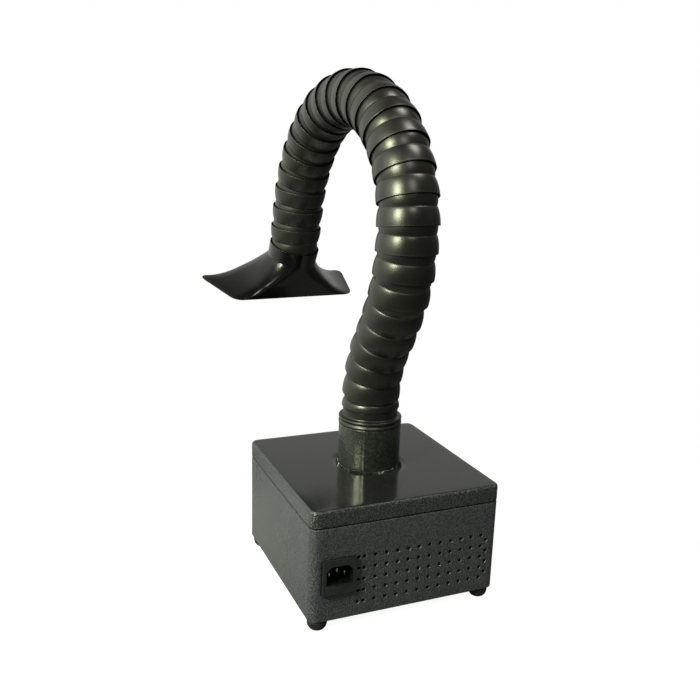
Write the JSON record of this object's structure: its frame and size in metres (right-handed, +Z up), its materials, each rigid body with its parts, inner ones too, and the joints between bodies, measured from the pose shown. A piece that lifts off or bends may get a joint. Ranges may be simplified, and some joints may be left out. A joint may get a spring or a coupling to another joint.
{
  "type": "fume extraction arm",
  "caption": "Bench-top fume extractor: a painted steel fan and filter case on rubber feet, with a self-supporting arm of ball-jointed plastic rings that carries a flared hood.",
  "frame": {"origin": "middle of the whole outline, on the surface that the feet stand on", "axes": "+Z up, +Y from the vented inlet side of the case towards the hood, +X to the right seen from the vented side"},
  "size_m": [0.2006, 0.3344, 0.4693],
  "materials": {
    "case_paint": "dark charcoal textured enamel",
    "lid_paint": "dark charcoal enamel, smoother and half gloss",
    "hose_plastic": "satin black moulded plastic",
    "hood_plastic": "polished black plastic",
    "black_plastic": "fine matt black plastic",
    "rubber": "black rubber",
    "foam": "black closed-cell foam",
    "filter_paper": "pleated off-white filter paper",
    "filter_card": "plain grey board",
    "zinc_plate": "zinc-plated steel",
    "nickel": "nickel plate",
    "motor_shell": "dull cast shell",
    "fuse_glass": "clear glass",
    "lead_sheath": "black flexible sheath"
  },
  "bodies": {
    "base": {"case_body": "case_paint", "lid": "lid_paint", "lid_gasket": "foam", "foot_front_left": "rubber", "foot_front_right": "rubber", "foot_rear_left": "rubber", "foot_rear_right": "rubber", "inlet_housing": "black_plastic", "line_pin": "nickel", "neutral_pin": "nickel", "earth_pin": "nickel", "switch_bezel": "black_plastic", "motor_mount": "zinc_plate", "motor_body": "motor_shell", "bearing_lower": "nickel", "bearing_upper": "nickel", "fan_deck": "zinc_plate", "bell_mouth": "black_plastic", "filter_frame": "filter_card", "filter_pleats": "filter_paper", "deck_post_front_left": "zinc_plate", "deck_post_front_right": "zinc_plate", "deck_post_rear_left": "zinc_plate", "deck_post_rear_right": "zinc_plate", "mains_lead": "lead_sheath", "motor_lead": "lead_sheath", "inlet_collar": "case_paint"},
    "arm_base": {"hose_adaptor": "hose_plastic"},
    "rocker": {"switch_rocker": "black_plastic"},
    "fuse_drawer": {"fuse_drawer": "black_plastic", "fuse": "fuse_glass"},
    "rotor": {"impeller": "black_plastic", "motor_shaft": "nickel"},
    "ring_01": {"hose_ring_01": "hose_plastic"},
    "ring_02": {"hose_ring_02": "hose_plastic"},
    "ring_03": {"hose_ring_03": "hose_plastic"},
    "ring_04": {"hose_ring_04": "hose_plastic"},
    "ring_05": {"hose_ring_05": "hose_plastic"},
    "ring_06": {"hose_ring_06": "hose_plastic"},
    "ring_07": {"hose_ring_07": "hose_plastic"},
    "ring_08": {"hose_ring_08": "hose_plastic"},
    "ring_09": {"hose_ring_09": "hose_plastic"},
    "ring_10": {"hose_ring_10": "hose_plastic"},
    "ring_11": {"hose_ring_11": "hose_plastic"},
    "ring_12": {"hose_ring_12": "hose_plastic"},
    "ring_13": {"hose_ring_13": "hose_plastic"},
    "ring_14": {"hose_ring_14": "hose_plastic"},
    "ring_15": {"hose_ring_15": "hose_plastic"},
    "ring_16": {"hose_ring_16": "hose_plastic"},
    "ring_17": {"hose_ring_17": "hose_plastic"},
    "ring_18": {"hose_ring_18": "hose_plastic"},
    "ring_19": {"hose_ring_19": "hose_plastic"},
    "ring_20": {"hose_ring_20": "hose_plastic"},
    "ring_21": {"hose_ring_21": "hose_plastic"},
    "ring_22": {"hose_ring_22": "hose_plastic"},
    "ring_23": {"hose_ring_23": "hose_plastic"},
    "ring_24": {"hose_ring_24": "hose_plastic"},
    "ring_25": {"hose_ring_25": "hose_plastic"},
    "ring_26": {"hose_ring_26": "hose_plastic"},
    "hood": {"hood": "hood_plastic"}
  },
  "joints": [
    {"name": "arm_swivel", "type": "hinge", "parent": "base", "child": "arm_base", "pos_m": [0.01031, -0.0742, 0.1595], "axis": [0, 0, 1], "continuous": true},
    {"name": "hood_swivel", "type": "hinge", "parent": "ring_26", "child": "hood", "pos_m": [-0.00394, 0.10694, 0.29446], "axis": [-0.0905, 0.327, -0.9407], "continuous": true},
    {"name": "switch_press", "type": "hinge", "parent": "base", "child": "rocker", "pos_m": [0.06031, 0.0148, 0.056], "axis": [1, 0, 0], "range_deg": [0, 20]},
    {"name": "fuse_drawer_slide", "type": "slide", "parent": "base", "child": "fuse_drawer", "axis": [0, -1, 0], "range_m": [0, 0.022]},
    {"name": "fan_spin", "type": "hinge", "parent": "base", "child": "rotor", "pos_m": [0.01031, -0.0742, 0.06], "axis": [0, 0, 1], "continuous": true},
    {"name": "ring_tilt_01", "type": "hinge", "parent": "arm_base", "child": "ring_01", "pos_m": [0.01031, -0.0742, 0.1806], "axis": [-0.9969, -0.0785, 0], "range_deg": [-2, 23]},
    {"name": "ring_tilt_02", "type": "hinge", "parent": "ring_01", "child": "ring_02", "pos_m": [0.01061, -0.07804, 0.20135], "axis": [0.9969, 0.0785, 0], "range_deg": [-23, 2]},
    {"name": "ring_tilt_03", "type": "hinge", "parent": "ring_02", "child": "ring_03", "pos_m": [0.01121, -0.08558, 0.22104], "axis": [-0.9969, -0.0785, 0], "range_deg": [-2, 23]},
    {"name": "ring_tilt_04", "type": "hinge", "parent": "ring_03", "child": "ring_04", "pos_m": [0.01207, -0.09657, 0.23904], "axis": [0.9969, 0.0785, 0], "range_deg": [-9.5, 15.5]},
    {"name": "ring_tilt_05", "type": "hinge", "parent": "ring_04", "child": "ring_05", "pos_m": [0.01286, -0.1066, 0.25758], "axis": [-0.9969, -0.0785, 0], "range_deg": [-15.5, 9.5]},
    {"name": "ring_tilt_06", "type": "hinge", "parent": "ring_05", "child": "ring_06", "pos_m": [0.01358, -0.11566, 0.27662], "axis": [0.9969, 0.0785, 0], "range_deg": [-4.5, 20.5]},
    {"name": "ring_tilt_07", "type": "hinge", "parent": "ring_06", "child": "ring_07", "pos_m": [0.01407, -0.12198, 0.29675], "axis": [-0.9969, -0.0785, 0], "range_deg": [-20.5, 4.5]},
    {"name": "ring_tilt_08", "type": "hinge", "parent": "ring_07", "child": "ring_08", "pos_m": [0.01435, -0.12546, 0.31756], "axis": [0.9969, 0.0785, 0], "range_deg": [-4.5, 20.5]},
    {"name": "ring_tilt_09", "type": "hinge", "parent": "ring_08", "child": "ring_09", "pos_m": [0.01439, -0.12601, 0.33865], "axis": [-0.9969, -0.0785, 0], "range_deg": [-20.5, 4.5]},
    {"name": "ring_tilt_10", "type": "hinge", "parent": "ring_09", "child": "ring_10", "pos_m": [0.0142, -0.12363, 0.35962], "axis": [0.9969, 0.0785, 0], "range_deg": [-1, 24]},
    {"name": "ring_tilt_11", "type": "hinge", "parent": "ring_10", "child": "ring_11", "pos_m": [0.01369, -0.11713, 0.37968], "axis": [-0.9969, -0.0785, 0], "range_deg": [-24, 1]},
    {"name": "ring_tilt_12", "type": "hinge", "parent": "ring_11", "child": "ring_12", "pos_m": [0.01287, -0.10677, 0.39805], "axis": [0.9969, 0.0785, 0], "range_deg": [-1, 24]},
    {"name": "ring_tilt_13", "type": "hinge", "parent": "ring_12", "child": "ring_13", "pos_m": [0.01179, -0.09297, 0.41397], "axis": [-0.9969, -0.0785, 0], "range_deg": [-24, 1]},
    {"name": "ring_tilt_14", "type": "hinge", "parent": "ring_13", "child": "ring_14", "pos_m": [0.01048, -0.07628, 0.42682], "axis": [0.9969, 0.0785, 0], "range_deg": [-1, 24]},
    {"name": "ring_tilt_15", "type": "hinge", "parent": "ring_14", "child": "ring_15", "pos_m": [0.00899, -0.05737, 0.43606], "axis": [-0.9969, -0.0785, 0], "range_deg": [-24, 1]},
    {"name": "ring_tilt_16", "type": "hinge", "parent": "ring_15", "child": "ring_16", "pos_m": [0.00739, -0.03701, 0.44135], "axis": [0.9969, 0.0785, 0], "range_deg": [-1.5, 23.5]},
    {"name": "ring_tilt_17", "type": "hinge", "parent": "ring_16", "child": "ring_17", "pos_m": [0.00573, -0.01601, 0.44264], "axis": [-0.9969, -0.0785, 0], "range_deg": [-23.5, 1.5]},
    {"name": "ring_tilt_18", "type": "hinge", "parent": "ring_17", "child": "ring_18", "pos_m": [0.00409, 0.00484, 0.43988], "axis": [0.9969, 0.0785, 0], "range_deg": [-1.5, 23.5]},
    {"name": "ring_tilt_19", "type": "hinge", "parent": "ring_18", "child": "ring_19", "pos_m": [0.00252, 0.02479, 0.43319], "axis": [-0.9969, -0.0785, 0], "range_deg": [-23.5, 1.5]},
    {"name": "ring_tilt_20", "type": "hinge", "parent": "ring_19", "child": "ring_20", "pos_m": [0.00108, 0.0431, 0.4228], "axis": [0.9969, 0.0785, 0], "range_deg": [-1.5, 23.5]},
    {"name": "ring_tilt_21", "type": "hinge", "parent": "ring_20", "child": "ring_21", "pos_m": [-0.00018, 0.05909, 0.40909], "axis": [-0.9969, -0.0785, 0], "range_deg": [-21, 4]},
    {"name": "ring_tilt_22", "type": "hinge", "parent": "ring_21", "child": "ring_22", "pos_m": [-0.00126, 0.07289, 0.39317], "axis": [0.9969, 0.0785, 0], "range_deg": [-4, 21]},
    {"name": "ring_tilt_23", "type": "hinge", "parent": "ring_22", "child": "ring_23", "pos_m": [-0.00215, 0.0842, 0.37537], "axis": [-0.9969, -0.0785, 0], "range_deg": [-21, 4]},
    {"name": "ring_tilt_24", "type": "hinge", "parent": "ring_23", "child": "ring_24", "pos_m": [-0.00283, 0.09275, 0.3561], "axis": [0.9969, 0.0785, 0], "range_deg": [-4, 21]},
    {"name": "ring_tilt_25", "type": "hinge", "parent": "ring_24", "child": "ring_25", "pos_m": [-0.00327, 0.09837, 0.33576], "axis": [-0.9969, -0.0785, 0], "range_deg": [-15, 10]},
    {"name": "ring_tilt_26", "type": "hinge", "parent": "ring_25", "child": "ring_26", "pos_m": [-0.00364, 0.1031, 0.31521], "axis": [0.9969, 0.0785, 0], "range_deg": [-10, 15]}
  ]
}
